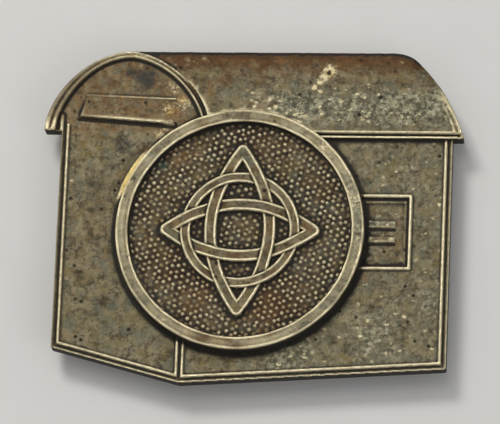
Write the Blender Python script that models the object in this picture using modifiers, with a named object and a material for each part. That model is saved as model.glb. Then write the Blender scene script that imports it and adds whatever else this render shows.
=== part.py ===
"""A struck metal cap badge in the outline of a barrel-roofed hut.

A round rimmed medallion with an interlaced strap emblem sits in a seat in the badge plate. On the back a needle
turns on a riveted hinge and lies in a bent hook, so that it pins the badge to a cap.

Frame: +Z out of the badge's face, +Y towards the ridge of the roof, +X along it. The origin is in the middle of the
badge's outline, on the surface that its back fittings rest on. Sizes below are in millimetres.
"""

from math import cos, hypot, pi, radians, sin

import bmesh
import bpy
from mathutils import Matrix

MM = 0.001

# Outline of the badge, seen from the front
WIDTH, HEIGHT = 42.4, 34.85
TOP, BOTTOM = HEIGHT / 2, -HEIGHT / 2
LEFT, RIGHT = -WIDTH / 2, WIDTH / 2
WALL_LEFT, WALL_RIGHT = LEFT + 1.75, RIGHT - 1.15
CORNER_X = -6.5  # where the two walls of the hut meet
LEFT_FOOT_Y = BOTTOM + 3.5
RIGHT_FOOT_Y = BOTTOM + 1.7
GABLE_HALF, GABLE_RISE, GABLE_POWER = 8.38, 8.42, 1.75  # nearly a half circle, drawn slightly to a point
GABLE_X, GABLE_Y = LEFT + GABLE_HALF, TOP - 0.3 - GABLE_RISE
EAVE_Y = 8.1
RIDGE_END_X = 14.0
SHOULDER = (16.7, 16.0)  # the roof's far end turns down here
SHOULDER_BULGE, ROOF_END_BULGE = 0.35, 0.55

# Levels above the surface that the badge rests on
NEEDLE_Z = 1.05
STRIP = 0.4  # sheet that the hinge bracket and the hook are bent from
PAD_BOTTOM = 2 * NEEDLE_Z
PAD_THICK = 0.35
FIELD_BACK = PAD_BOTTOM + PAD_THICK
RIM_BACK = FIELD_BACK - 0.3
PANEL_TOP = 3.45
RIM_TOP = 3.6
EAVE_TOP, RIDGE_TOP, ROOF_BULGE = 4.0, 2.85, 0.85
EAVE_GROOVE, EAVE_LIP = 0.12, 0.35
ARCH_TOP = 4.0
SEAT = 3.3
GROUND_TOP = 3.95
RING_TOP = 4.75
GAP = 0.02  # between pieces that touch

# Relief on the walls
RIM_WIDTH = 0.95
ARCH_WIDTH = 0.65
RIB_WIDTH = 0.75
BACK_RIM = 1.4
LINTEL = ((-17.65, 10.18), (-8.8, 9.48), (-8.8, 12.28), (-17.0, 12.58))
LINTEL_TOP = 3.8
WINDOW_LEFT, WINDOW_RIGHT = 8.0, 16.2
WINDOW_BOTTOM, WINDOW_TOP = -5.48, 2.32
WINDOW_FRAME = 0.38
WINDOW_FLOOR = 3.2
SLAT_END = 14.6
SLATS = ((-2.52, -1.82), (-1.08, -0.28))  # lower and upper edge of each slat

# Medallion and emblem
MEDAL_X, MEDAL_Y = -0.92, -1.73
RING_INNER, RING_OUTER, RING_FOOT = 11.2, 12.5, 12.6
EMBLEM_THICK = 0.5
OVAL_TALL, OVAL_TALL_HALF = 9.3, 3.6
OVAL_WIDE, OVAL_WIDE_HALF = 8.4, 3.3
STRAP = 1.1
LINK_R, LINK_STRAP = 5.5, 0.95

# Fittings on the back
NEEDLE_Y = -0.5
HINGE_X, CATCH_X = -13.0, 12.5
HINGE_HALF_WIDTH, HINGE_HALF_LENGTH = 2.3, 1.2
PAD_HALF_X, PAD_HALF_Y = 2.6, 3.1
RIVET_R, RIVET_CLEARANCE = 0.34, 0.04
RIVET_HEAD_R, RIVET_HEAD = 0.62, 0.3
KNUCKLE_R = 0.6
NEEDLE_R = 0.45
NEEDLE_TIP_X, NEEDLE_TAPER = 14.6, 4.0
NEEDLE_ROOT_GAP = 0.06
HOOK_HALF_LENGTH = 1.3
HOOK_WALL_Y = 0.82  # middle of the hook's closed side, from the needle
HOOK_BEND = 0.45
HOOK_LIP_Y, HOOK_LIP = -0.95, 0.18

MATERIALS = {
    "patinated_bronze": ((0.155, 0.125, 0.075, 1.0), 0.85, 0.42),
    "brass": ((0.42, 0.30, 0.12, 1.0), 0.95, 0.38),
    "steel": ((0.40, 0.39, 0.37, 1.0), 0.95, 0.35),
}


def clear_scene():
    for obj in list(bpy.data.objects):
        bpy.data.objects.remove(obj)


def make_collections():
    parts = bpy.data.collections.new("cap_badge")
    cutters = bpy.data.collections.new("cutters")
    bpy.context.scene.collection.children.link(parts)
    bpy.context.scene.collection.children.link(cutters)
    return parts, cutters


def make_materials():
    made = {}
    for name, (colour, metallic, roughness) in MATERIALS.items():
        material = bpy.data.materials.new(name)
        material.use_nodes = True
        shader = material.node_tree.nodes["Principled BSDF"]
        shader.inputs["Base Color"].default_value = colour
        shader.inputs["Metallic"].default_value = metallic
        shader.inputs["Roughness"].default_value = roughness
        made[name] = material
    return made


# Outlines: lists of (x, y) in millimetres


def arc(centre, radius, start, end, steps):
    """Points on a circle from one angle to another, in degrees."""
    x, y = centre
    angles = [radians(start + (end - start) * i / steps) for i in range(steps + 1)]
    return [(x + radius * cos(a), y + radius * sin(a)) for a in angles]


def gable_arch(start, end, steps, inset=0.0):
    """Points along the gable's outline from one angle to another, moved in by inset."""
    points = []
    for i in range(steps + 1):
        a = radians(start + (end - start) * i / steps)
        x = abs(cos(a)) ** (2 / GABLE_POWER) * (1 if cos(a) > 0 else -1)
        y = abs(sin(a)) ** (2 / GABLE_POWER)
        points.append((GABLE_X + GABLE_HALF * x, GABLE_Y + GABLE_RISE * y))
    return offset(points, inset)


def bulged(start, end, bulge, steps):
    """Points on the shallow curve from start to end that stands proud of their chord, on its left, by bulge."""
    dx, dy = end[0] - start[0], end[1] - start[1]
    length = hypot(dx, dy)
    points = []
    for i in range(steps + 1):
        t = i / steps
        rise = 4 * bulge * t * (1 - t) / length
        points.append((start[0] + dx * t - dy * rise, start[1] + dy * t + dx * rise))
    return points


def offset(points, distance, closed=False):
    """The polyline moved to its left by distance."""
    count = len(points)
    moved = []
    for i, (x, y) in enumerate(points):
        before = points[i - 1] if i or closed else points[i]
        after = points[(i + 1) % count] if i < count - 1 or closed else points[i]
        normals = []
        for (ax, ay), (bx, by) in ((before, (x, y)), ((x, y), after)):
            length = hypot(bx - ax, by - ay)
            if length > 1e-9:
                normals.append((-(by - ay) / length, (bx - ax) / length))
        nx = sum(n[0] for n in normals) / len(normals)
        ny = sum(n[1] for n in normals) / len(normals)
        stretch = distance / (nx * nx + ny * ny)
        moved.append((x + nx * stretch, y + ny * stretch))
    return moved


def ribbon(points, width):
    """The outline of a strip of this width along an open polyline."""
    return offset(points, width / 2) + offset(points, -width / 2)[::-1]


def ellipse(centre, half_x, half_y, steps):
    angles = [2 * pi * i / steps for i in range(steps)]
    return [(centre[0] + half_x * cos(a), centre[1] + half_y * sin(a)) for a in angles]


def pointed_oval(half_length, half_width, steps=14):
    """A closed outline of two shallow curves that meet in points at (0, half_length) and (0, -half_length)."""
    tip, toe = (0, half_length), (0, -half_length)
    right = bulged(tip, toe, half_width, steps)
    left = bulged(toe, tip, half_width, steps)
    return right[:-1] + left[:-1]


def turned_quarter(points):
    return [(-y, x) for x, y in points]


def moved_by(points, x, y):
    return [(px + x, py + y) for px, py in points]


def foot_line(x, inset):
    """Height of the bottom edge of the walls at x, moved up by inset."""
    if x < CORNER_X:
        slope = (BOTTOM - LEFT_FOOT_Y) / (CORNER_X - WALL_LEFT)
    else:
        slope = (RIGHT_FOOT_Y - BOTTOM) / (WALL_RIGHT - CORNER_X)
    return BOTTOM + slope * (x - CORNER_X) + inset * hypot(1, slope)


def roof_end(inset=0.0):
    """The roof's far end, from the eave up to the ridge."""
    lower = bulged((RIGHT, EAVE_Y), SHOULDER, -ROOF_END_BULGE, 8)
    upper = bulged(SHOULDER, (RIDGE_END_X, TOP), -SHOULDER_BULGE, 5)
    return offset(lower + upper[1:], inset)


# Solids


def mesh_object(name, mesh, collection):
    obj = bpy.data.objects.new(name, mesh)
    collection.objects.link(obj)
    return obj


def prism(name, loops, low, high, collection, along="Z"):
    """Closed outlines, the later ones being holes, stretched along an axis between two levels, all in millimetres."""
    curve = bpy.data.curves.new(name, "CURVE")
    curve.dimensions = "2D"
    curve.fill_mode = "BOTH"
    curve.extrude = (high - low) / 2 * MM
    for loop in loops:
        spline = curve.splines.new("POLY")
        spline.points.add(len(loop) - 1)
        for point, (x, y) in zip(spline.points, loop):
            point.co = (x * MM, y * MM, 0, 1)
        spline.use_cyclic_u = True
    drawn = mesh_object(name + "_curve", curve, collection)
    bpy.context.view_layer.update()
    mesh = bpy.data.meshes.new_from_object(drawn.evaluated_get(bpy.context.evaluated_depsgraph_get()))
    bpy.data.objects.remove(drawn)
    mesh.transform(Matrix.Translation((0, 0, (low + high) / 2 * MM)))
    if along == "X":
        mesh.transform(Matrix(((0, 0, 1, 0), (1, 0, 0, 0), (0, 1, 0, 0), (0, 0, 0, 1))))
    elif along == "Y":
        mesh.transform(Matrix(((1, 0, 0, 0), (0, 0, -1, 0), (0, 1, 0, 0), (0, 0, 0, 1))))
    weld(mesh)
    return mesh_object(name, mesh, collection)


def weld(mesh):
    edit = bmesh.new()
    edit.from_mesh(mesh)
    bmesh.ops.remove_doubles(edit, verts=edit.verts, dist=1e-7)
    bmesh.ops.recalc_face_normals(edit, faces=edit.faces)
    edit.to_mesh(mesh)
    edit.free()


def cylinder(name, radius, low, high, centre, collection, steps=24, along="Z"):
    """A round bar between two levels of an axis, with its centre line at centre, all in millimetres."""
    return prism(name, [ellipse(centre, radius, radius, steps)], low, high, collection, along)


def turned(name, profile, steps, collection):
    """A profile of (radius, height), listed down its outer side, turned about Z."""
    mesh = bpy.data.meshes.new(name)
    points = [(r * MM, 0, z * MM) for r, z in profile]
    mesh.from_pydata(points, [(i, i + 1) for i in range(len(points) - 1)], [])
    obj = mesh_object(name, mesh, collection)
    screw = obj.modifiers.new("turn", "SCREW")
    screw.steps = screw.render_steps = steps
    screw.use_merge_vertices = True
    screw.merge_threshold = 1e-6
    return obj


def apply_modifiers(obj):
    bpy.context.view_layer.update()
    mesh = bpy.data.meshes.new_from_object(obj.evaluated_get(bpy.context.evaluated_depsgraph_get()))
    obj.modifiers.clear()
    obj.data = mesh


def combine(obj, other, operation, cutters):
    """Joins or cuts a mesh by another, which becomes a hidden helper."""
    modifier = obj.modifiers.new(operation.lower(), "BOOLEAN")
    modifier.operation = operation
    modifier.solver = "EXACT"
    modifier.object = other
    apply_modifiers(obj)
    for collection in other.users_collection:
        collection.objects.unlink(other)
    cutters.objects.link(other)
    other.hide_render = True
    other.display_type = "WIRE"


def finish(obj, material, smooth_angle=35):
    obj.data.materials.clear()
    obj.data.materials.append(material)
    obj.data.shade_smooth()
    obj.data.set_sharp_from_angle(angle=radians(smooth_angle))


# The badge plate


def plate_blank(parts, cutters):
    """Walls, gable and roof as one body, before its panels are sunk."""
    wall_top = EAVE_Y + 1.2
    walls = [
        (WALL_LEFT, LEFT_FOOT_Y),
        (CORNER_X, BOTTOM),
        (WALL_RIGHT, RIGHT_FOOT_Y),
        (WALL_RIGHT, wall_top),
        (WALL_LEFT, wall_top),
    ]
    plate = prism("badge_plate", [walls], RIM_BACK, RIM_TOP, parts)

    gable_block = prism("gable", [gable_arch(0, 180, 40)], RIM_BACK, ARCH_TOP, cutters)
    combine(plate, gable_block, "UNION", cutters)

    crown = bulged((EAVE_Y + 2 * EAVE_LIP, EAVE_TOP), (TOP, RIDGE_TOP), ROOF_BULGE, 14)
    eave = [
        (EAVE_Y, RIM_BACK),
        (EAVE_Y, EAVE_TOP - EAVE_GROOVE),
        (EAVE_Y + 0.1, EAVE_TOP),
        (EAVE_Y + EAVE_LIP, EAVE_TOP),
        (EAVE_Y + EAVE_LIP + 0.1, EAVE_TOP - EAVE_GROOVE),
        (EAVE_Y + 2 * EAVE_LIP - 0.1, EAVE_TOP - EAVE_GROOVE),
    ]
    section = [(TOP, RIM_BACK)] + eave + crown
    roof = prism("roof", [section], GABLE_X, RIGHT + 1, cutters, along="X")
    roof_outline = [(GABLE_X - 1, TOP + 1), (GABLE_X - 1, EAVE_Y - 1), (RIGHT, EAVE_Y - 1)]
    roof_outline += roof_end() + [(RIDGE_END_X, TOP + 1)]
    trim = prism("roof_outline", [roof_outline], RIM_BACK - 1, RING_TOP + 1, cutters)
    combine(roof, trim, "INTERSECT", cutters)
    combine(plate, roof, "UNION", cutters)
    return plate


def left_panel():
    """The end wall inside its rim, running up into the gable."""
    left, right = WALL_LEFT + RIM_WIDTH, CORNER_X - RIB_WIDTH / 2
    points = [
        (left, foot_line(left, RIM_WIDTH)),
        (right, foot_line(right, RIM_WIDTH)),
        (right, GABLE_Y - 1),
    ]
    return points + gable_arch(0, 180, 30, ARCH_WIDTH) + [(left, GABLE_Y)]


def right_panel():
    """The long wall inside its rim, up to the eave."""
    left, right = CORNER_X + RIB_WIDTH / 2, WALL_RIGHT - RIM_WIDTH
    return [
        (left, foot_line(left, RIM_WIDTH)),
        (right, foot_line(right, RIM_WIDTH)),
        (right, EAVE_Y),
        (left, EAVE_Y),
    ]


def rectangle(left, bottom, right, top):
    return [(left, bottom), (right, bottom), (right, top), (left, top)]


def back_recess():
    """The hollow of the back, inside its flat rim."""
    left, right = WALL_LEFT + BACK_RIM, WALL_RIGHT - BACK_RIM
    points = [
        (left, foot_line(left, BACK_RIM)),
        (CORNER_X, BOTTOM + BACK_RIM),
        (right, foot_line(right, BACK_RIM)),
        (right, EAVE_Y + BACK_RIM),
    ]
    points += [(x, y) for x, y in roof_end(BACK_RIM) if x < right - 0.2 and y < TOP - BACK_RIM]
    points += [(RIDGE_END_X, TOP - BACK_RIM)]
    curve = gable_arch(90, 180, 16, BACK_RIM)
    return points + [(x, y) for x, y in curve if x > left + 0.2]


def badge_plate(parts, cutters, material):
    plate = plate_blank(parts, cutters)
    window = rectangle(WINDOW_LEFT, WINDOW_BOTTOM, WINDOW_RIGHT, WINDOW_TOP)
    pane = rectangle(
        WINDOW_LEFT,
        WINDOW_BOTTOM + WINDOW_FRAME,
        WINDOW_RIGHT - WINDOW_FRAME,
        WINDOW_TOP - WINDOW_FRAME,
    )
    slats = [rectangle(WINDOW_LEFT + 1, low, SLAT_END, high) for low, high in SLATS]
    seat = ellipse((MEDAL_X, MEDAL_Y), RING_FOOT + GAP, RING_FOOT + GAP, 96)
    above = RING_TOP + 1
    sunk = (
        ("left_panel", [left_panel(), LINTEL], PANEL_TOP, above),
        ("right_panel", [right_panel(), window], PANEL_TOP, above),
        ("lintel_top", [LINTEL], LINTEL_TOP, above),
        ("pane", [pane] + slats, WINDOW_FLOOR, above),
        ("medallion_seat", [seat], SEAT, above),
        ("back_recess", [back_recess()], RIM_BACK - 1, FIELD_BACK),
    )
    for name, loops, low, high in sunk:
        combine(plate, prism(name, loops, low, high, cutters), "DIFFERENCE", cutters)
    finish(plate, material)
    return plate


# The medallion and its emblem


def medallion(parts, material):
    bottom = SEAT + GAP
    profile = [
        (0, GROUND_TOP),
        (RING_INNER, GROUND_TOP),
        (RING_INNER + 0.12, RING_TOP - 0.1),
        (RING_INNER + 0.22, RING_TOP),
        (RING_OUTER - 0.1, RING_TOP),
        (RING_OUTER, RING_TOP - 0.1),
        (RING_FOOT, PANEL_TOP + 0.1),
        (RING_FOOT, bottom),
        (0, bottom),
    ]
    disc = turned("medallion", profile, 96, parts)
    disc.location = (MEDAL_X * MM, MEDAL_Y * MM, 0)
    finish(disc, material)
    return disc


def emblem(parts, cutters, material):
    """Two crossed pointed ovals linked by a ring, as one pierced plate."""
    bottom = GROUND_TOP + GAP
    tall_outer = pointed_oval(OVAL_TALL, OVAL_TALL_HALF)
    tall_inner = pointed_oval(OVAL_TALL - 1.5 * STRAP, OVAL_TALL_HALF - STRAP)
    wide_outer = turned_quarter(pointed_oval(OVAL_WIDE, OVAL_WIDE_HALF))
    wide_inner = turned_quarter(pointed_oval(OVAL_WIDE - 1.5 * STRAP, OVAL_WIDE_HALF - STRAP))
    link_outer = ellipse((0, 0), LINK_R + LINK_STRAP / 2, LINK_R + LINK_STRAP / 2, 48)
    link_inner = ellipse((0, 0), LINK_R - LINK_STRAP / 2, LINK_R - LINK_STRAP / 2, 48)
    knot = None
    layers = (
        ("emblem", tall_outer, tall_inner, EMBLEM_THICK),
        ("wide_oval", wide_outer, wide_inner, EMBLEM_THICK - 0.03),
        ("link", link_outer, link_inner, EMBLEM_THICK - 0.06),
    )
    for name, outer, inner, thick in layers:
        loops = [moved_by(loop, MEDAL_X, MEDAL_Y) for loop in (outer, inner)]
        layer = prism(name, loops, bottom, bottom + thick, parts if knot is None else cutters)
        if knot is None:
            knot = layer
        else:
            combine(knot, layer, "UNION", cutters)
    finish(knot, material)
    return knot


# The fittings on the back


def pad(name, x, parts, material):
    """The oval patch that spreads a fitting's solder joint over the back."""
    outline = ellipse((x, NEEDLE_Y), PAD_HALF_X, PAD_HALF_Y, 40)
    patch = prism(name, [outline], PAD_BOTTOM + GAP, FIELD_BACK - GAP, parts)
    finish(patch, material)


def hinge_bracket(parts, cutters, material):
    """A strip bent into a base and two ears, drilled for the rivet."""
    half = HINGE_HALF_WIDTH - STRIP / 2
    middle = PAD_BOTTOM - STRIP / 2
    corner = 0.5
    bend_left = arc((-half + corner, middle - corner), corner, 180, 90, 5)
    bend_right = arc((half - corner, middle - corner), corner, 90, 0, 5)
    path = [(-half, 0)] + bend_left + bend_right + [(half, 0)]
    section = moved_by(ribbon(path, STRIP), NEEDLE_Y, 0)
    low, high = HINGE_X - HINGE_HALF_LENGTH, HINGE_X + HINGE_HALF_LENGTH
    bracket = prism("hinge_bracket", [section], low, high, parts, along="X")

    foot = 0.45
    side = arc((low + foot, foot), foot, 180, 270, 5) + arc((high - foot, foot), foot, 270, 360, 5)
    side += [(high, PAD_BOTTOM + 1), (low, PAD_BOTTOM + 1)]
    rounding = prism("ear_rounding", [side], -NEEDLE_Y - 5, -NEEDLE_Y + 5, cutters, along="Y")
    combine(bracket, rounding, "INTERSECT", cutters)

    reach = HINGE_HALF_WIDTH + 1
    drill = cylinder(
        "rivet_hole",
        RIVET_R + GAP,
        -NEEDLE_Y - reach,
        -NEEDLE_Y + reach,
        (HINGE_X, NEEDLE_Z),
        cutters,
        along="Y",
    )
    combine(bracket, drill, "DIFFERENCE", cutters)
    finish(bracket, material)


def hinge_rivet(parts, material):
    """A headed pin through both ears, domed at each end."""
    seat = HINGE_HALF_WIDTH + GAP
    dome = [
        (RIVET_HEAD_R * sin(radians(a)), seat + RIVET_HEAD * cos(radians(a)))
        for a in (0, 25, 45, 65, 90)
    ]
    profile = dome + [(RIVET_R, seat), (RIVET_R, -seat)] + [(r, -z) for r, z in dome[::-1]]
    profile[0] = (0, profile[0][1])
    profile[-1] = (0, profile[-1][1])
    rivet = turned("hinge_rivet", profile, 24, parts)
    rivet.rotation_euler = (radians(90), 0, 0)
    rivet.location = (HINGE_X * MM, NEEDLE_Y * MM, NEEDLE_Z * MM)
    finish(rivet, material)


def needle_knuckle(parts, cutters, material):
    """The drilled barrel that turns on the rivet and carries the needle."""
    half = HINGE_HALF_WIDTH - STRIP - 0.08
    centre = (HINGE_X, NEEDLE_Z)
    barrel = cylinder(
        "needle_knuckle", KNUCKLE_R, -NEEDLE_Y - half, -NEEDLE_Y + half, centre, parts, 28, "Y"
    )
    bore = cylinder(
        "knuckle_bore",
        RIVET_R + RIVET_CLEARANCE,
        -NEEDLE_Y - half - 1,
        -NEEDLE_Y + half + 1,
        centre,
        cutters,
        24,
        "Y",
    )
    combine(barrel, bore, "DIFFERENCE", cutters)
    finish(barrel, material)


def needle(parts, material):
    """A straight wire with a rounded root and a ground point."""
    start = HINGE_X + KNUCKLE_R + NEEDLE_ROOT_GAP
    length = NEEDLE_TIP_X - start
    profile = [(0, length)]
    profile += [(NEEDLE_R * (0.12 + 0.88 * t), length - NEEDLE_TAPER * t) for t in (0.02, 0.3, 0.6, 1)]
    profile += [(NEEDLE_R, 0.2), (NEEDLE_R * 0.85, 0.06), (NEEDLE_R * 0.6, 0), (0, 0)]
    wire = turned("needle", profile, 20, parts)
    wire.rotation_euler = (0, radians(90), 0)
    wire.location = (start * MM, NEEDLE_Y * MM, NEEDLE_Z * MM)
    finish(wire, material)


def catch_hook(parts, material):
    """A strip soldered flat, bent down past the needle and back under it, with its mouth towards the badge's foot."""
    top, bottom = PAD_BOTTOM - STRIP / 2, STRIP / 2
    path = [(-1.5, top)]
    path += arc((HOOK_WALL_Y - HOOK_BEND, top - HOOK_BEND), HOOK_BEND, 90, 0, 6)
    path += arc((HOOK_WALL_Y - HOOK_BEND, bottom + HOOK_BEND), HOOK_BEND, 0, -90, 6)
    path += [(-0.6, bottom), (HOOK_LIP_Y, bottom + HOOK_LIP)]
    section = moved_by(ribbon(path, STRIP), NEEDLE_Y, 0)
    low, high = CATCH_X - HOOK_HALF_LENGTH, CATCH_X + HOOK_HALF_LENGTH
    hook = prism("catch_hook", [section], low, high, parts, along="X")
    finish(hook, material)


def build():
    clear_scene()
    parts, cutters = make_collections()
    materials = make_materials()
    bronze, brass, steel = (materials[n] for n in ("patinated_bronze", "brass", "steel"))
    badge_plate(parts, cutters, bronze)
    medallion(parts, bronze)
    emblem(parts, cutters, bronze)
    pad("hinge_pad", HINGE_X, parts, brass)
    hinge_bracket(parts, cutters, brass)
    hinge_rivet(parts, steel)
    needle_knuckle(parts, cutters, brass)
    needle(parts, steel)
    pad("catch_pad", CATCH_X, parts, brass)
    catch_hook(parts, brass)


build()
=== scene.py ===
"""Looks for the cap badge: struck relief under a dark patina, worn to bare brass along its raised edges.

Every height and width below is in millimetres. Places come from the boxes of the frame's own nodes.
"""

from math import cos, hypot, pi, radians, sin

import bmesh
import bpy
import numpy as np
from mathutils import Matrix, Vector
from mathutils.geometry import tessellate_polygon


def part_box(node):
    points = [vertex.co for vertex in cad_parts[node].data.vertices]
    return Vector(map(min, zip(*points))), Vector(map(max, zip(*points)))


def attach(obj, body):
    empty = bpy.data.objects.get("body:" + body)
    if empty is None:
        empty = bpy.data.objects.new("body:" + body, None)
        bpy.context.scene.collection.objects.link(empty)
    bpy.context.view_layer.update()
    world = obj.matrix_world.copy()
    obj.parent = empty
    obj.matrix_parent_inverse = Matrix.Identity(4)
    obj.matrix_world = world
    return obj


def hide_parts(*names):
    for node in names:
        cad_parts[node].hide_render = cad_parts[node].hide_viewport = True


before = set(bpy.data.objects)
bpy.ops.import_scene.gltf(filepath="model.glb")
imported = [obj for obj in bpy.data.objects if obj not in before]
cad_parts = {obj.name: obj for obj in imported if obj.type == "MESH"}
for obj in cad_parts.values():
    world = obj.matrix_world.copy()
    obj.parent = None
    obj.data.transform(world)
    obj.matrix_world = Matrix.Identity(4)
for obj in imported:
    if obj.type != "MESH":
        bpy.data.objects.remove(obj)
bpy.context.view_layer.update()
MM = 0.001


def node_box(name):
    """A CAD node's lowest and highest corner, in millimetres."""
    low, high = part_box(name)
    return [v / MM for v in low], [v / MM for v in high]


# The frame's own measures
(LEFT, BOTTOM, BACK), (RIGHT, TOP, _) = node_box("badge_plate")
MEDAL_LOW, MEDAL_HIGH = node_box("medallion")
EMBLEM_LOW, EMBLEM_HIGH = node_box("emblem")
MEDAL_X = (MEDAL_LOW[0] + MEDAL_HIGH[0]) / 2
MEDAL_Y = (MEDAL_LOW[1] + MEDAL_HIGH[1]) / 2
MEDAL_R = (MEDAL_HIGH[0] - MEDAL_LOW[0]) / 2
RING_TOP = MEDAL_HIGH[2]

# Outline of the plate
WALL_LEFT, WALL_RIGHT = LEFT + 1.75, RIGHT - 1.15
CORNER_X = -6.5
LEFT_FOOT_Y, RIGHT_FOOT_Y = BOTTOM + 3.5, BOTTOM + 1.7
GABLE_HALF, GABLE_RISE, GABLE_POWER = 8.38, 8.42, 1.75
GABLE_X, GABLE_Y = LEFT + GABLE_HALF, TOP - 0.3 - GABLE_RISE
EAVE_Y = 8.1
RIDGE_END_X = 14.0
SHOULDER = (16.7, 16.0)
SHOULDER_BULGE, ROOF_END_BULGE = 0.35, 0.5

# Relief of the plate
PANEL = BACK + 1.3
FRAME_INSET, FRAME_HALF, FRAME_RISE = 0.66, 0.12, 0.15
GROOVE_DEPTH = 0.07
ARRIS_GAP = 0.29
RIM_RISE = 0.11
ARCH_BAND, ARCH_RISE = 0.62, 0.34
EAVE_RISE, EAVE_GROOVE, RIDGE_DROP, ROOF_BULGE = 0.42, 0.24, 0.35, 0.62
LINTEL = ((-17.75, 10.16), (-8.1, 9.42), (-8.1, 12.2), (-17.05, 12.55))
WINDOW_RIGHT, WINDOW_BOTTOM, WINDOW_TOP = 16.05, -5.36, 2.17
WINDOW_DEPTH, BORDER_RISE = 0.16, 0.17
MOULDING_SIDE, MOULDING_HEAD = 0.5, 0.62
SLAT_END, SLAT_RISE = 14.6, 0.13
SLATS = ((-1.12, -0.42), (-2.64, -2.06))
EDGE_BEVEL = 0.1

# Dents: place, size and depth
DENTS = (
    (7.4, 15.05, 0.5, 0.16), (6.75, 14.3, 0.35, 0.05), (-17.73, 13.61, 0.2, 0.13),
    (-16.83, 11.81, 0.17, 0.13), (3.2, 12.6, 0.3, 0.04), (-14.2, -6.5, 0.3, 0.03),
    (12.2, 5.4, 0.25, 0.03),
)

# Medallion
RING_INNER, RING_EDGE = 11.2, 12.45
GROUND = 3.95
DOT_PITCH, DOT_RADIUS, DOT_RISE = 0.65, 0.28, 0.15

# Emblem
EMBLEM_RISE = EMBLEM_HIGH[2] - GROUND
OVAL_TALL = (EMBLEM_HIGH[1] - EMBLEM_LOW[1]) / 2
OVAL_WIDE = (EMBLEM_HIGH[0] - EMBLEM_LOW[0]) / 2
OVAL_TALL_HALF, OVAL_WIDE_HALF = 3.6, 3.3
STRAP, LINK_R, LINK_STRAP = 1.25, 5.5, 1.05
WEAVE = 0.11

PITCH = 0.085
FINE_PITCH = 0.065


# Plane geometry


def arc(centre, radius, start, end, steps):
    angles = np.radians(np.linspace(start, end, steps + 1))
    return [(centre[0] + radius * cos(a), centre[1] + radius * sin(a)) for a in angles]


def bulged(start, end, bulge, steps):
    """The shallow curve from start to end that stands proud of their chord, on its left, by bulge."""
    dx, dy = end[0] - start[0], end[1] - start[1]
    length = hypot(dx, dy)
    points = []
    for t in np.linspace(0, 1, steps + 1):
        rise = 4 * bulge * t * (1 - t) / length
        points.append((start[0] + dx * t - dy * rise, start[1] + dy * t + dx * rise))
    return points


def path_distance(path, x, y, closed=False):
    """Distance from each point to a polyline."""
    points = list(path) + ([path[0]] if closed else [])
    nearest = np.full(np.shape(x), np.inf)
    for (ax, ay), (bx, by) in zip(points, points[1:]):
        dx, dy = bx - ax, by - ay
        t = np.clip(((x - ax) * dx + (y - ay) * dy) / max(dx * dx + dy * dy, 1e-12), 0, 1)
        np.minimum(nearest, np.hypot(x - ax - dx * t, y - ay - dy * t), out=nearest)
    return nearest


def inside(loop, x, y):
    """Whether each point is inside a closed polygon."""
    odd = np.zeros(np.shape(x), bool)
    for (ax, ay), (bx, by) in zip(loop, loop[1:] + loop[:1]):
        if ay != by:
            crosses = (ay > y) != (by > y)
            odd ^= crosses & (x < ax + (y - ay) * (bx - ax) / (by - ay))
    return odd


def depth_in(loop, x, y):
    """Distance to a closed polygon, positive inside it and negative outside."""
    distance = path_distance(loop, x, y, closed=True)
    return np.where(inside(loop, x, y), distance, -distance)


def smooth(value, low, high):
    """0 below low, 1 above high and smooth between."""
    t = np.clip((value - low) / (high - low), 0, 1)
    return t * t * (3 - 2 * t)


def ridge(distance, half_width, soft=0.1):
    """1 along a line, falling to 0 past its half width."""
    return 1 - smooth(distance, half_width - soft / 2, half_width + soft)


def groove(distance, low, high):
    """1 on a line, falling to 0 between two distances from it."""
    return 1 - smooth(np.abs(distance), low, high)


def between(table, i, j, s, t):
    """A table's value, the shares s and t of the way from one entry to the next."""
    low = table[i, j] * (1 - s) + table[i + 1, j] * s
    high = table[i, j + 1] * (1 - s) + table[i + 1, j + 1] * s
    return low * (1 - t) + high * t


def noise(x, y, size, seed):
    """Smooth random relief from -1 to 1, whose lumps are about this size."""
    margin = 5
    u, v = (x - LEFT + margin) / size, (y - BOTTOM + margin) / size
    table = np.random.default_rng(seed).uniform(-1, 1, (int(u.max()) + 3, int(v.max()) + 3))
    i, j = u.astype(int), v.astype(int)
    return between(table, i, j, smooth(u - i, 0, 1), smooth(v - j, 0, 1))


def blurred(field, pitch, radius):
    """A height field averaged over about this radius."""
    reach = int(3 * radius / pitch) + 1
    kernel = np.exp(-0.5 * (np.arange(-reach, reach + 1) * pitch / radius) ** 2)
    kernel /= kernel.sum()
    for axis in (0, 1):
        padded = np.pad(field, [(reach, reach) if a == axis else (0, 0) for a in (0, 1)], "edge")
        moved = [np.take(padded, range(k, k + field.shape[axis]), axis) for k in range(2 * reach + 1)]
        field = sum(w * m for w, m in zip(kernel, moved))
    return field


# Fine meshes


class Grid:
    """A square grid of points over a rectangle of the badge's face."""

    def __init__(self, low, high, pitch):
        self.pitch = pitch
        margin = 3 * pitch
        xs = np.arange(low[0] - margin, high[0] + margin, pitch)
        ys = np.arange(low[1] - margin, high[1] + margin, pitch)
        self.x, self.y = np.meshgrid(xs, ys, indexing="ij")

    def at(self, field, x, y):
        """A field's value at any points, between the grid's own."""
        u = np.clip((x - self.x[0, 0]) / self.pitch, 0, field.shape[0] - 1.001)
        v = np.clip((y - self.y[0, 0]) / self.pitch, 0, field.shape[1] - 1.001)
        i, j = u.astype(int), v.astype(int)
        return between(field, i, j, u - i, v - j)

    def over(self, sheet, field):
        """A field's values at a sheet's points."""
        return self.at(field, sheet[0][:, 0], sheet[0][:, 1])


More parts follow.
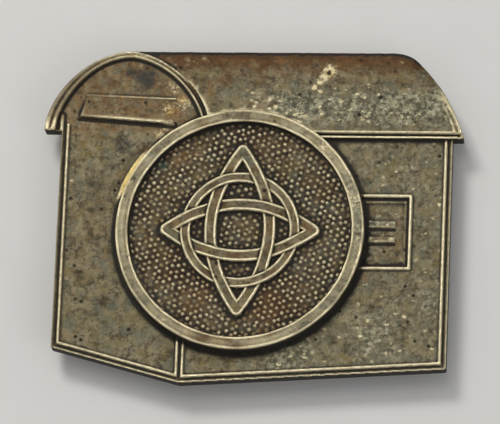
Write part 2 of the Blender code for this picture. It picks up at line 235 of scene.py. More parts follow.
def trimmed_sheet(grid, level):
    """The part of the grid where level is above 0, cut along its outline: (points, faces).

    A grid point less than the share near of a step from the outline is moved onto it.
    """
    x, y, level = grid.x.copy(), grid.y.copy(), level.copy()
    near, snap = 0.3, {}
    for axis in (0, 1):
        step = (1, 0) if axis == 0 else (0, 1)
        a = level[: level.shape[0] - step[0], : level.shape[1] - step[1]]
        b = level[step[0] :, step[1] :]
        for i, j in zip(*np.nonzero((a > 0) != (b > 0))):
            t = a[i, j] / (a[i, j] - b[i, j])
            if near < t < 1 - near:
                continue
            key = (i, j) if t <= near else (i + step[0], j + step[1])
            away = t if t <= near else 1 - t
            if away < snap.get(key, (1,))[0]:
                snap[key] = (away, i + step[0] * t, j + step[1] * t)
    for (i, j), (_, u, v) in snap.items():
        x[i, j] = grid.x[0, 0] + u * grid.pitch
        y[i, j] = grid.y[0, 0] + v * grid.pitch
        level[i, j] = 0

    index = -np.ones(level.shape, int)
    kept = level >= 0
    index[kept] = np.arange(kept.sum())
    points = list(zip(x[kept], y[kept]))
    corners = [level[:-1, :-1], level[1:, :-1], level[1:, 1:], level[:-1, 1:]]
    lowest = np.minimum.reduce(corners)
    highest = np.maximum.reduce(corners)
    i, j = np.nonzero((lowest >= 0) & (highest > 0))
    faces = np.stack([index[i, j], index[i + 1, j], index[i + 1, j + 1], index[i, j + 1]], 1).tolist()

    made = {}
    for i, j in zip(*np.nonzero((lowest < 0) & (highest > 0))):
        ring = [(i, j), (i + 1, j), (i + 1, j + 1), (i, j + 1)]
        face = []
        for a, b in zip(ring, ring[1:] + ring[:1]):
            if level[a] >= 0:
                face.append(int(index[a]))
            if level[a] * level[b] < 0:
                key = (min(a, b), max(a, b))
                if key not in made:
                    t = level[a] / (level[a] - level[b])
                    made[key] = len(points)
                    points.append((x[a] + (x[b] - x[a]) * t, y[a] + (y[b] - y[a]) * t))
                face.append(made[key])
        if len(face) > 2:
            faces.append(face)
    return drop_unused(np.array(points), faces)


def drop_unused(points, faces):
    used = sorted({v for face in faces for v in face})
    new = {old: n for n, old in enumerate(used)}
    return points[used], [[new[v] for v in face] for face in faces]


def outlines(faces):
    """The sheet's free edges as closed loops of point numbers, in the faces' own direction."""
    edges = {(a, b) for face in faces for a, b in zip(face, face[1:] + face[:1])}
    following = {a: b for a, b in edges if (b, a) not in edges}
    loops = []
    while following:
        start, point = following.popitem()
        loop = [start]
        while point != start:
            loop.append(point)
            point = following.pop(point)
        loops.append(loop)
    return loops


def cap(points, loops, z, flip):
    """Flat faces that fill some outlines at one height, given as lists of (x, y)."""
    vectors = [[Vector((x, y, 0)) for x, y in loop] for loop in loops]
    count = sum(len(loop) for loop in loops)
    base = len(points)
    points.extend((x, y, z) for loop in loops for x, y in loop)
    faces = []
    flat = [p for loop in vectors for p in loop]
    for a, b, c in tessellate_polygon(vectors):
        u, v = flat[b] - flat[a], flat[c] - flat[a]
        turn = u.x * v.y - u.y * v.x
        if abs(turn) < 1e-12:
            continue
        faces.append([base + n for n in ((a, b, c) if (turn > 0) != flip else (a, c, b))])
    return range(base, base + count), faces


def bridge(upper, lower):
    """Quads between two loops of point numbers, one below the other."""
    count = len(upper)
    return [[upper[n], lower[n], lower[(n + 1) % count], upper[(n + 1) % count]] for n in range(count)]


def sheet_solid(name, sheet, heights, low, chamfer=0.05):
    """A relief closed by upright sides and a flat underside: (object, count of the relief's points)."""
    flat_points, faces = sheet
    points = [(x, y, z) for (x, y), z in zip(flat_points, heights)]
    relief = len(points)
    feet, under = [], []
    for loop in outlines(faces):
        ring = [tuple(flat_points[n]) for n in loop]
        first = len(points)
        points.extend((x, y, low + chamfer) for x, y in ring)
        feet.append(range(first, len(points)))
        faces = faces + bridge(loop, feet[-1])
        under.append(shrunk(ring, chamfer))
    numbers, cap_faces = cap(points, under, low, flip=True)
    done = 0
    for foot in feet:
        faces = faces + bridge(foot, numbers[done : done + len(foot)])
        done += len(foot)
    return mesh_object(name, points, faces + cap_faces), relief


def shrunk(ring, distance):
    """A closed outline moved to its left by distance, into the solid."""
    ring = np.array(ring)
    along = np.roll(ring, -1, 0) - np.roll(ring, 1, 0)
    along /= np.maximum(np.hypot(along[:, 0], along[:, 1])[:, None], 1e-9)
    moved = ring + np.stack([-along[:, 1], along[:, 0]], 1) * distance
    return [tuple(p) for p in moved]


def added(name, data):
    """A new object in the scene."""
    obj = bpy.data.objects.new(name, data)
    bpy.context.scene.collection.objects.link(obj)
    return obj


def mesh_object(name, points, faces):
    mesh = bpy.data.meshes.new(name)
    mesh.from_pydata([(x * MM, y * MM, z * MM) for x, y, z in points], [], faces)
    mesh.validate()
    mesh.shade_smooth()
    return added(name, mesh)


def paint(obj, name, values):
    """Stores a number for each point, for the material to read. Points past the values get 0."""
    attribute = obj.data.attributes.new(name, "FLOAT", "POINT")
    filled = np.zeros(len(obj.data.vertices), np.float32)
    filled[: len(values)] = values
    attribute.data.foreach_set("value", filled)


def place(obj, node, material, body="badge", sharp=None):
    """Hands a finished piece over. Its edges are sharp where they turn by more than sharp degrees."""
    if sharp:
        obj.data.set_sharp_from_angle(angle=radians(sharp))
    obj.data.materials.clear()
    obj.data.materials.append(material)
    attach(obj, body)
    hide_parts(node)
    return obj


# Materials


class Nodes:
    """Short names for building a material's nodes."""

    def __init__(self, name):
        self.material = bpy.data.materials.new(name)
        self.material.use_nodes = True
        self.tree = self.material.node_tree
        self.shader = self.tree.nodes["Principled BSDF"]
        self.place = self.tree.nodes.new("ShaderNodeTexCoord").outputs["Object"]

    def put(self, socket, value):
        if isinstance(value, bpy.types.NodeSocket):
            self.tree.links.new(value, socket)
        else:
            socket.default_value = value

    def attribute(self, name):
        node = self.tree.nodes.new("ShaderNodeAttribute")
        node.attribute_name = name
        return node.outputs["Fac"]

    def scaled(self, size, shift, stretch):
        """The point's place, counted in steps of size millimetres."""
        mapping = self.tree.nodes.new("ShaderNodeMapping")
        mapping.inputs["Scale"].default_value = [s / (size * MM) for s in stretch]
        mapping.inputs["Location"].default_value = (shift, shift, shift)
        self.put(mapping.inputs["Vector"], self.place)
        return mapping.outputs["Vector"]

    def noise(self, size, detail=3.0, roughness=0.55, stretch=(1, 1, 1), shift=0.0):
        """Noise whose lumps are about size millimetres."""
        node = self.tree.nodes.new("ShaderNodeTexNoise")
        node.inputs["Scale"].default_value = 1.0
        node.inputs["Detail"].default_value = detail
        node.inputs["Roughness"].default_value = roughness
        self.put(node.inputs["Vector"], self.scaled(size, shift, stretch))
        return node.outputs["Fac"]

    def cells(self, size, shift=0.0, stretch=(1, 1, 1)):
        """Distance to the nearest of scattered points about size millimetres apart, as a share of size."""
        node = self.tree.nodes.new("ShaderNodeTexVoronoi")
        node.inputs["Scale"].default_value = 1.0
        self.put(node.inputs["Vector"], self.scaled(size, shift, stretch))
        return node.outputs["Distance"]

    def math(self, operation, a, b, c=0.0, clamp=False):
        node = self.tree.nodes.new("ShaderNodeMath")
        node.operation = operation
        node.use_clamp = clamp
        for socket, value in zip(node.inputs, (a, b, c)):
            self.put(socket, value)
        return node.outputs[0]

    def span(self, value, low, high, out_low=0.0, out_high=1.0):
        """value moved from the range low to high into another, with smooth ends."""
        node = self.tree.nodes.new("ShaderNodeMapRange")
        node.interpolation_type = "SMOOTHSTEP"
        self.put(node.inputs["Value"], value)
        for key, number in (("From Min", low), ("From Max", high), ("To Min", out_low), ("To Max", out_high)):
            node.inputs[key].default_value = number
        return node.outputs["Result"]

    def mix(self, factor, a, b, kind="RGBA"):
        """A colour between a and b."""
        node = self.tree.nodes.new("ShaderNodeMix")
        node.data_type = kind
        self.put(node.inputs["Factor"], factor)
        self.put(node.inputs["A"], a)
        self.put(node.inputs["B"], b)
        return node.outputs["Result"]

    def blend(self, factor, a, b):
        """A number between a and b."""
        return self.mix(factor, a, b, "FLOAT")

    def finish(self, colour, rough, metallic, normal):
        """Sets the shader's inputs and gives the material."""
        names = ("Base Color", "Roughness", "Metallic", "Normal")
        for name, value in zip(names, (colour, rough, metallic, normal)):
            self.put(self.shader.inputs[name], value)
        return self.material

    def bump(self, height, distance, strength=1.0, below=None):
        node = self.tree.nodes.new("ShaderNodeBump")
        node.inputs["Distance"].default_value = distance * MM
        node.inputs["Strength"].default_value = strength
        self.put(node.inputs["Height"], height)
        if below is not None:
            self.put(node.inputs["Normal"], below)
        return node.outputs["Normal"]


# What a point can be tinted with, by stains and by painted light, and the colours of the patina, the tints,
# the dirt and painted shade, and the bare metal with its painted glints
TINTS = ("warm", "cool", "green", "bare_and_highlight", "pale", "brown")
FROST, PALE_DARK, PALE_LIGHT = (0.30, 0.26, 0.165, 1), (0.080, 0.080, 0.052, 1), (0.42, 0.40, 0.27, 1)
OLIVE, SLATE, VERDIGRIS = (0.175, 0.132, 0.044, 1), (0.125, 0.135, 0.098, 1), (0.03, 0.080, 0.062, 1)
OCHRE, BROWN, BLUE_BLACK = (0.20, 0.105, 0.036, 1), (0.100, 0.044, 0.014, 1), (0.030, 0.034, 0.033, 1)
SOOT, GRIME_AND_SHADE = (0.022, 0.017, 0.010, 1), (0.011, 0.008, 0.005, 1)
BRASS, CLEAN_BRASS = (0.50, 0.41, 0.22, 1), (0.74, 0.67, 0.46, 1)
POLISHED, GOLD = (0.82, 0.73, 0.49, 1), (0.62, 0.48, 0.19, 1)


def bronze(name, dark, light, edge_gain=1.0, speckle=1.0):
    """Brass under a brown patina. It reads the points' wear, their dirt and painted shade, and their tints of
    stain and painted light.
    """
    n = Nodes(name)
    wear, dirt_and_shade = n.attribute("wear"), n.attribute("dirt_and_shade")
    warm, cool, green, bare_and_highlight, pale, brown = (n.attribute(k) for k in TINTS)

    def clouds(size, shift, low, high, detail=5, roughness=0.68):
        """1 in patches of about this size, 0 between them."""
        return n.span(n.noise(size, detail, roughness, shift=shift), low, high)

    def broken(tint, size, shift, low=0.58, high=1.0):
        """A tint, stain and painted light alike, whose edge breaks up into blotches."""
        ragged = n.math("MULTIPLY_ADD", tint, 0.45, n.noise(size, 5, 0.72, shift=shift))
        return n.math("MULTIPLY", n.span(ragged, low, high), n.span(tint, 0.0, 0.12))

    def tinted(base, amount, share, other):
        """A colour turned part of the way to another where amount is high."""
        return n.mix(n.math("MULTIPLY", amount, share), base, other)

    colour = n.mix(clouds(1.1, 7.0, 0.38, 0.61, 6, 0.72), dark, light)
    frost = n.math("MULTIPLY", clouds(2.4, 0.0, 0.38, 0.60), clouds(0.30, 3.0, 0.40, 0.62, 4, 0.65))
    colour = tinted(colour, frost, 0.75, FROST)
    colour = tinted(colour, clouds(1.5, 21.0, 0.50, 0.66), 0.6, OLIVE)
    colour = tinted(colour, clouds(1.5, 33.0, 0.50, 0.62), 0.6, SLATE)
    # The pale tint: frosty patina, and also painted highlight and painted light where the roof's, the right
    # wall's and the rim's washes and spots put it.
    pale_tone = n.mix(clouds(0.48, 81.0, 0.40, 0.64, 4, 0.66), PALE_DARK, PALE_LIGHT)
    colour = tinted(colour, broken(pale, 0.9, 61.0), 0.9, pale_tone)
    # The brown tint: brown patina, and also painted shade on the roof's crown and the rim's bottom and top.
    colour = tinted(colour, broken(brown, 1.2, 71.0), 0.9, BROWN)
    pit = n.math("MULTIPLY", n.span(n.cells(1.3, 5.0), 0.19, 0.09), clouds(3.0, 47.0, 0.42, 0.56, 2, 0.55))
    soot = n.math("MULTIPLY", clouds(0.8, 41.0, 0.55, 0.68, roughness=0.74), 0.7)
    colour = n.mix(n.math("MAXIMUM", soot, pit), colour, SOOT)
    # The ochre tint: stains, and also painted shade on the roof's upper half.
    colour = tinted(colour, broken(warm, 0.7, 11.0), 0.85, OCHRE)
    # The blue-black tint: stains, and also painted shade on the arch's left limb.
    colour = tinted(colour, broken(cool, 0.7, 17.0), 0.9, BLUE_BLACK)
    colour = n.mix(broken(green, 0.6, 19.0), colour, VERDIGRIS)

    rub = n.span(n.noise(0.6, 4, 0.7, shift=15.0), 0.26, 0.56, 0.5, 1.0)
    edge = n.math("MULTIPLY", n.span(wear, 0.12, 0.75), rub)
    edge = n.math("MULTIPLY", edge, edge_gain, clamp=True)
    # Flecks of bright brass, thickest where the pale tint is strong: painted glints, as of light catching a
    # pebbled surface.
    sparse = n.math("MULTIPLY_ADD", pale, 0.25, n.noise(1.1, 3, 0.6, shift=27.0))
    uneven = n.noise(0.32, 3, 0.7, shift=91.0)
    uneven = n.math("MULTIPLY_ADD", uneven, 0.9, n.cells(0.72, 9.0, (0.75, 1, 1)))
    glint_fleck = n.math("MULTIPLY", n.span(uneven, 0.74, 0.56), n.span(sparse, 0.58, 0.72, 0.0, 0.9 * speckle))
    # Bare brass where worn, and painted highlights where the rim's spots put them.
    edge = n.math("MAXIMUM", edge, n.math("MAXIMUM", glint_fleck, broken(bare_and_highlight, 0.26, 51.0, 0.62, 0.86)))
    brass = n.mix(n.noise(0.9, 3, 0.6, shift=9.0), BRASS, CLEAN_BRASS)
    brass = n.mix(n.span(wear, 0.55, 1.0), brass, POLISHED)
    brass = n.mix(n.span(warm, 0.55, 0.95), brass, GOLD)
    colour = n.mix(edge, colour, brass)
    # Darkened by dirt and painted shade: grime in the hollows, and painted shade on the sides and round the
    # feet of raised parts.
    grime_and_shade = n.math("MULTIPLY", n.span(dirt_and_shade, 0.08, 0.62), 0.94)
    colour = n.mix(grime_and_shade, colour, GRIME_AND_SHADE)

    rough = n.blend(n.noise(0.5, 4, 0.6, shift=5.0), 0.34, 0.58)
    rough = n.blend(grime_and_shade, n.blend(edge, rough, 0.30), 0.8)
    metallic = n.blend(grime_and_shade, n.blend(edge, 0.72, 1.0), 0.1)
    body = n.bump(n.noise(0.55, 6, 0.74, shift=2.0), 0.14, 1.0)
    sunk = n.bump(n.math("SUBTRACT", 1.0, pit), 0.06, 0.8, body)
    return n.finish(colour, rough, metallic, n.bump(n.span(n.cells(0.42), 0.0, 0.28), 0.025, 0.6, sunk))


def dull_brass(name):
    n = Nodes(name)
    cloud = n.span(n.noise(1.1, 5, 0.65), 0.3, 0.7)
    spots = n.span(n.noise(0.3, 3, 0.6, shift=4.0), 0.5, 0.72)
    colour = n.mix(cloud, (0.20, 0.135, 0.055, 1), (0.50, 0.37, 0.17, 1))
    colour = n.mix(n.math("MULTIPLY", spots, 0.6), colour, (0.07, 0.045, 0.022, 1))
    drawn = n.bump(n.noise(0.22, 4, 0.6, stretch=(0.15, 1, 1)), 0.02, 0.5)
    return n.finish(colour, n.blend(cloud, 0.55, 0.33), 0.95, drawn)


def solder(name):
    n = Nodes(name)
    cloud = n.span(n.noise(0.8, 5, 0.65), 0.3, 0.7)
    colour = n.mix(cloud, (0.16, 0.15, 0.13, 1), (0.38, 0.37, 0.35, 1))
    return n.finish(colour, n.blend(cloud, 0.6, 0.38), 0.9, n.bump(n.noise(0.5, 4, 0.6), 0.06, 0.6))


def steel(name):
    n = Nodes(name)
    cloud = n.span(n.noise(1.3, 5, 0.65, stretch=(0.4, 1, 1)), 0.35, 0.7)
    rust = n.span(n.noise(0.5, 5, 0.7, stretch=(0.6, 1, 1), shift=6.0), 0.58, 0.72)
    colour = n.mix(cloud, (0.30, 0.29, 0.27, 1), (0.55, 0.54, 0.52, 1))
    colour = n.mix(n.math("MULTIPLY", rust, 0.7), colour, (0.13, 0.06, 0.025, 1))
    drawn = n.bump(n.noise(0.12, 3, 0.6, stretch=(0.08, 1, 1)), 0.01, 0.5)
    return n.finish(colour, n.blend(rust, 0.28, 0.7), n.blend(rust, 1.0, 0.4), drawn)


# The badge plate


def foot_line(x, inset=0.0):
    """Height of the bottom edge of the walls at x, moved up by inset."""
    if x < CORNER_X:
        slope = (BOTTOM - LEFT_FOOT_Y) / (CORNER_X - WALL_LEFT)
    else:
        slope = (RIGHT_FOOT_Y - BOTTOM) / (WALL_RIGHT - CORNER_X)
    return BOTTOM + slope * (x - CORNER_X) + inset * hypot(1, slope)


def gable_loop(steps=90):
    points = []
    for a in np.radians(np.linspace(0, 180, steps + 1)):
        x = abs(cos(a)) ** (2 / GABLE_POWER) * (1 if cos(a) > 0 else -1)
        points.append((GABLE_X + GABLE_HALF * x, GABLE_Y + GABLE_RISE * abs(sin(a)) ** (2 / GABLE_POWER)))
    return points


def wall_loop():
    top = EAVE_Y + 2.2
    foot = [(x, foot_line(x)) for x in (WALL_LEFT, CORNER_X, WALL_RIGHT)]
    return foot + [(WALL_RIGHT, top), (WALL_LEFT, top)]


def roof_end():
    lower = bulged((RIGHT, EAVE_Y), SHOULDER, -ROOF_END_BULGE, 24)
    return lower + bulged(SHOULDER, (RIDGE_END_X, TOP), -SHOULDER_BULGE, 12)[1:]


def roof_loop():
    return [(GABLE_X, TOP), (GABLE_X, EAVE_Y)] + roof_end()


def frame_line(left, right, top_left, top_right):
    """The fillet that frames one wall, round its sides and foot."""
    foot = [(x, foot_line(x, FRAME_INSET)) for x in (left, right)]
    return [(left, top_left)] + foot + [(right, top_right)]


def framing(x, y):
    """The fillets round both walls, the plate's raised rim and the grooves beside them."""
    walls = wall_loop()
    left_frame = frame_line(WALL_LEFT + FRAME_INSET, CORNER_X - ARRIS_GAP, GABLE_Y + 0.7, EAVE_Y)
    right_frame = frame_line(CORNER_X + ARRIS_GAP, WALL_RIGHT - FRAME_INSET, EAVE_Y, EAVE_Y + 0.5)
    fillet = np.minimum(path_distance(left_frame, x, y), path_distance(right_frame, x, y))
    rim = path_distance([walls[4]] + walls[:4], x, y)
    arris = path_distance([(CORNER_X, BOTTOM + 0.6), (CORNER_X, EAVE_Y)], x, y)
    sunk = GROOVE_DEPTH * groove(np.minimum(rim - FRAME_INSET / 2, arris), 0.05, 0.22)
    return FRAME_RISE * ridge(fillet, FRAME_HALF) + RIM_RISE * ridge(rim, 0.16, 0.12) - sunk


def window(x, y):
    """A raised border, a sunk pane with a moulding inside it, two slats and a rough foot."""
    head, sill = [(MEDAL_X, WINDOW_TOP), (WINDOW_RIGHT, WINDOW_TOP)], [(WINDOW_RIGHT, WINDOW_BOTTOM)]
    pane = depth_in(head + sill + [(MEDAL_X, WINDOW_BOTTOM)], x, y)
    z = BORDER_RISE * ridge(np.abs(pane), 0.14) - WINDOW_DEPTH * smooth(pane, 0.1, 0.32)

    corner = (WINDOW_RIGHT - MOULDING_SIDE, WINDOW_TOP - MOULDING_HEAD)
    z += 0.10 * ridge(path_distance([(MEDAL_X, corner[1]), corner], x, y), 0.1)
    z += 0.05 * ridge(path_distance([corner, (corner[0], WINDOW_BOTTOM)], x, y), 0.1)

    right_of_rim = x > MEDAL_X
    for low, high in SLATS:
        lean = SLAT_RISE - 0.03 * (y - low) / (high - low)
        upright = smooth(y, low - 0.06, low + 0.1) * (1 - smooth(y, high - 0.05, high + 0.12))
        z += right_of_rim * smooth(x, SLAT_END + 0.05, SLAT_END - 0.1) * upright * lean
        z -= 0.07 * right_of_rim * (x < SLAT_END) * groove(y - low + 0.22, 0.06, 0.2)
    rough = groove(y - WINDOW_BOTTOM - 1.1, 0.5, 1.0) * smooth(pane, 0.3, 0.6)
    return z + 0.05 * rough * noise(x, y, 0.5, 31)


def arched(z, gable, x, y):
    """The face with the arch laid round the gable: a double band, wider down its left limb."""
    band = ARCH_BAND + 0.5 * smooth(GABLE_X - x, 2.0, 8.5)
    arch = PANEL + ARCH_RISE - 0.12 * groove(gable - 0.5 * band, 0.04, 0.17)
    above_foot = smooth(y, GABLE_Y - 0.02, GABLE_Y + 0.06)
    near = (gable > 0) & (gable < band + 0.3)
    z = np.where(near, z + (arch - z) * ridge(gable, band, 0.16) * above_foot, z)
    return z - 0.06 * groove(gable - band - 0.2, 0.04, 0.16) * above_foot


def lintel(x, y):
    """A slab across the gable that stands out at its foot and fades at its right end."""
    depth = depth_in(list(LINTEL), x, y)
    foot = path_distance(LINTEL[:2], x, y)
    slab = 0.07 + 0.22 * groove(foot, 0.1, 2.5)
    fade = 1 - 0.85 * smooth(x, LINTEL[1][0] - 1.5, LINTEL[1][0])
    shade = groove(foot - 0.22, 0.02, 0.24) * (depth < 0) * (x > LINTEL[0][0] - 0.1) * (y < LINTEL[0][1])
    top_edge = 0.11 * ridge(path_distance(LINTEL[2:], x, y), 0.09)
    return slab * smooth(depth, -0.03, 0.16) * fade + top_edge - 0.12 * shade


def barrel(x, y, roof):
    """The roof: a barrel with a double eave and a double line down its right end."""
    t = np.clip((y - EAVE_Y) / (TOP - EAVE_Y), 0, 1)
    z = PANEL + EAVE_RISE * (1 - t) - RIDGE_DROP * t + ROOF_BULGE * 4 * t * (1 - t) * (1 - 0.35 * t)
    rounding = 1.3
    z -= 0.3 * smooth(rounding - roof, 0, rounding) ** 2 * smooth(t, 0.45, 0.75)
    above_eave = y - EAVE_Y
    z += 0.04 * ridge(np.abs(above_eave - 0.62), 0.08) - EAVE_GROOVE * groove(above_eave - 0.36, 0.05, 0.16)
    end = path_distance(roof_end()[:14], x, y)
    low_end = smooth(11.8 - y, 0, 1.2)
    z += low_end * (0.05 * ridge(end, 0.14) - 0.10 * groove(end - 0.42, 0.05, 0.17))
    z += low_end * 0.03 * ridge(np.abs(end - 0.68), 0.08)
    return z + (0.042 * noise(x, y, 0.55, 12) + 0.022 * noise(x, y, 0.3, 13)) * smooth(above_eave, 0.8, 1.4)


def plate_height(x, y):
    """The struck face of the plate, before wear."""
    arch = gable_loop()
    below_arch = arch + [(LEFT, BOTTOM), (GABLE_X + GABLE_HALF, BOTTOM)]
    gable = np.where(inside(below_arch, x, y), 1, -1) * path_distance(arch, x, y)
    roof = depth_in(roof_loop(), x, y)
    z = arched(PANEL + framing(x, y) + window(x, y), gable, x, y) + lintel(x, y)
    return np.where((roof > 0) & (gable <= 0), barrel(x, y, roof), z)


def plate_wear(x, y, z):
    """Dents, unevenness and the marks of use."""
    z = z + 0.016 * noise(x, y, 2.3, 1) + 0.009 * noise(x, y, 0.9, 2) + 0.006 * noise(x, y, 0.45, 3)
    for dent_x, dent_y, size, depth in DENTS:
        z = z - depth * np.exp(-((x - dent_x) ** 2 + (y - dent_y) ** 2) / (2 * (size / 2) ** 2))
    scratch = arc((16.6, -10.3), 2.9, 95, 165, 10)
    return z - 0.03 * ridge(path_distance(scratch, x, y), 0.05, 0.08)


def patch(x, y, places):
    """Soft spots of a stain: each place is (x, y, radius, strength)."""
    total = np.zeros(np.shape(x))
    for px, py, radius, strength in places:
        away = (x - px) ** 2 + (y - py) ** 2
        total = np.maximum(total, strength * np.exp(-away / (2 * (radius / 1.6) ** 2)))
    return total


def paint_tints(obj, x, y, tints, washes):
    """Paints every tint, stains and painted light alike: its soft spots, or its wash where that is stronger.
    """
    for name in TINTS:
        paint(obj, name, np.maximum(patch(x, y, tints.get(name, ())), washes.get(name, 0)))


def paint_relief(obj, count, grid, z, tints, gain=1.0, rub_and_painted_light=1.0, washes=None, sides=None):
    """Wear on what stands proud of its surroundings, dirt and painted shade in what lies below them, and the
    tints of stain and painted light.

    The relief is the first count points. The sides come next, and after them the back. Painted shade darkens
    them all, the back only a little when the sides are counted.
    """
    points = np.array([v.co for v in obj.data.vertices]) / MM
    x, y = points[:count, 0], points[:count, 1]
    near = z - blurred(z, grid.pitch, 0.16)
    wide = z - blurred(z, grid.pitch, 0.42)
    wear = rub_and_painted_light * np.clip(gain * (9.0 * near + 4.0 * wide), 0, 1)
    dirt_and_shade = np.clip(gain * (-8.0 * near - 5.0 * wide), 0, 1)
    # Painted shade on the sides, and a little on the back when the sides are counted.
    side_shade = np.full(len(points) - count, 0.8)
    if sides:
        side_shade[sides:] = 0.12
    paint(obj, "wear", grid.at(wear, x, y))
    paint(obj, "dirt_and_shade", np.concatenate([grid.at(dirt_and_shade, x, y), side_shade]))
    paint_tints(obj, x, y, tints, {k: grid.at(wash, x, y) for k, wash in (washes or {}).items()})


# Soft spots of each tint on the plate: place, radius and strength. The warm spots along the roof's top, near
# y 16.3 and 16.5, are painted shade on its crown; the rest are stains and wear.
PLATE_TINTS = {
    "warm": (
        (7.4, 15.0, 0.9, 0.9), (-8.3, 10.8, 1.4, 0.95), (-7.4, 12.2, 1.6, 0.8), (-9.5, 8.6, 1.4, 0.7),
        (-11.5, 4.4, 1.3, 0.6), (-13.0, 12.9, 2.2, 0.5), (-4.6, 12.8, 1.5, 0.6), (0.5, 11.4, 2.0, 0.6),
        (2.8, 16.5, 2.2, 0.5), (9.0, 16.3, 2.4, 0.6), (14.0, 14.8, 1.5, 0.6), (-15.5, 12.5, 0.6, 0.9),
        (-13.5, 12.4, 0.6, 0.9), (-11.5, 12.3, 0.6, 0.9), (12.0, 1.0, 1.5, 0.4), (-14.5, -5.0, 2.5, 0.35),
        (-10.0, -8.0, 2.5, 0.4), (11.0, -6.3, 1.6, 0.55), (-15.5, -1.5, 6.0, 0.35),
        (-16.5, 9.0, 3.5, 0.45),
    ),
    "cool": (
        (-11.1, 14.3, 1.7, 1.1), (-12.7, 14.9, 0.8, 0.8), (-13.1, 7.3, 1.2, 0.9), (-14.0, 5.0, 0.7, 0.6),
        (-16.5, 3.0, 3.0, 0.35), (6.0, 12.5, 4.0, 0.4), (12.0, 13.5, 2.5, 0.35), (17.5, -6.0, 2.5, 0.35),
        (16.0, 5.5, 2.0, 0.3),
    ),
    "green": ((-18.9, 9.3, 0.7, 0.5), (17.0, 11.0, 1.2, 0.25)),
    "bare_and_highlight": (
        (7.45, 15.15, 0.85, 1.0), (7.0, 14.6, 0.6, 1.0), (6.5, 14.0, 0.4, 1.1), (6.0, 13.4, 0.35, 1.0),
        (-8.9, 9.5, 1.0, 0.55), (-9.4, 8.4, 0.8, 0.6), (-7.2, 11.8, 1.4, 0.5), (-8.6, 11.0, 1.0, 0.5),
        (-8.2, 13.6, 1.4, 0.42), (4.6, 10.4, 0.9, 0.5),
    ),
    "pale": ((4.5, -14.5, 5.0, 0.8), (13.0, -12.5, 4.5, 0.8), (18.0, -9.0, 3.0, 0.7), (13.0, -1.5, 3.0, 0.6)),
    "brown": (
        (-12.5, 11.2, 3.0, 0.6), (-3.5, 15.0, 3.0, 0.6), (-11.0, 6.0, 2.5, 0.5), (13.5, -3.0, 2.4, 0.6),
    ),
}


def crescent(x, y):
    """1 along the stretch of the ring's foot that is rubbed to bright brass, 0 elsewhere."""
    turn = np.degrees(np.arctan2(y - MEDAL_Y, x - MEDAL_X))
    foot = np.hypot(x - MEDAL_X, y - MEDAL_Y) - MEDAL_R
    middle, spread = 152, 13
    return np.exp(-(((turn - middle) / spread) ** 4)) * (1 - smooth(foot, 0.4, 0.6))


def rubbing_and_painted_shade(x, y):
    """How much each edge of the plate is rubbed: little on the arch's left limb and round the roof's end.
    There the lesser wear is also painted shade, which damps the glints the lamps put on those edges.
    """
    arch = (0.2 + 0.45 * smooth(-x, 13.0, 18.0)) * smooth(y, 9.0, 10.5) * (1 - smooth(x, -4.5, -3.5))
    roof_edge = smooth(x, -4.5, -3.5) * (0.4 * smooth(y, 9.5, 10.5) + 0.4 * smooth(y, 12.2, 14.0))
    pane = (x > MEDAL_X) & (x < WINDOW_RIGHT - 0.25) & (y > WINDOW_BOTTOM + 0.25) & (y < WINDOW_TOP - 0.25)
    left_wall = 0.25 * smooth(-x, 13.0, 15.0) + 0.3 * smooth(WALL_LEFT + 0.4 - x, 0.0, 0.1)
    return 1 - arch - roof_edge - 0.3 * pane - left_wall * (1 - smooth(y, 8.5, 9.5))


def plate_washes(x, y):
    """Broad changes of tone that follow the shape. Painted shade, brown and warm, lies on the roof's crown, a
    pale painted highlight across the roof's lower half, painted light on the right wall and painted shade on
    the arch's left limb; the gable, slat, window strip and crescent tints are real.
    """
    t = np.clip((y - EAVE_Y) / (TOP - EAVE_Y), 0, 1)
    arch = gable_loop()
    gable = inside(arch, x, y)
    roof = inside(roof_loop(), x, y) & ~gable
    # Painted shade on the crown, where the roof turns away from the light, and a pale painted highlight in a
    # band across its lower half.
    crown_shade = smooth(t, 0.58, 1.0)
    rub_and_painted_light = np.exp(-(((t - 0.34) / 0.24) ** 2)) * smooth(x, -5.0, 3.0)
    slats = np.zeros(x.shape)
    for low, high in SLATS:
        slats = np.maximum(slats, (y > low - 0.05) & (y < high + 0.1) & (x < SLAT_END) & (x > MEDAL_X))
    strip = (x > SLAT_END + 0.05) & (x < WINDOW_RIGHT - 0.4)
    strip &= (y > WINDOW_BOTTOM + 0.7) & (y < WINDOW_TOP - 0.8)
    # Painted light: the right wall paler towards its right end.
    wall = 0.4 * smooth(x, 0.0, 13.0)
    gold = crescent(x, y)
    # Painted shade on the arch's left limb, which faces the key light.
    left_limb_shade = 0.5 * smooth(-x, 12.0, 17.0) * smooth(y, 8.9, 9.5)
    left_limb_shade *= 1 - smooth(path_distance(arch, x, y), 0.7, 1.2)
    return {
        "bare_and_highlight": gold,
        "cool": left_limb_shade,
        "brown": np.where(roof, 0.15 + 1.1 * crown_shade, 0.4 * gable),
        "warm": np.maximum(gold, np.where(roof, 0.3 * smooth(t, 0.3, 0.7), 0.5 * gable)) + 0.45 * strip,
        "pale": np.where(roof, 1.1 * rub_and_painted_light, np.maximum(wall, 0.9 * slats)),
    }


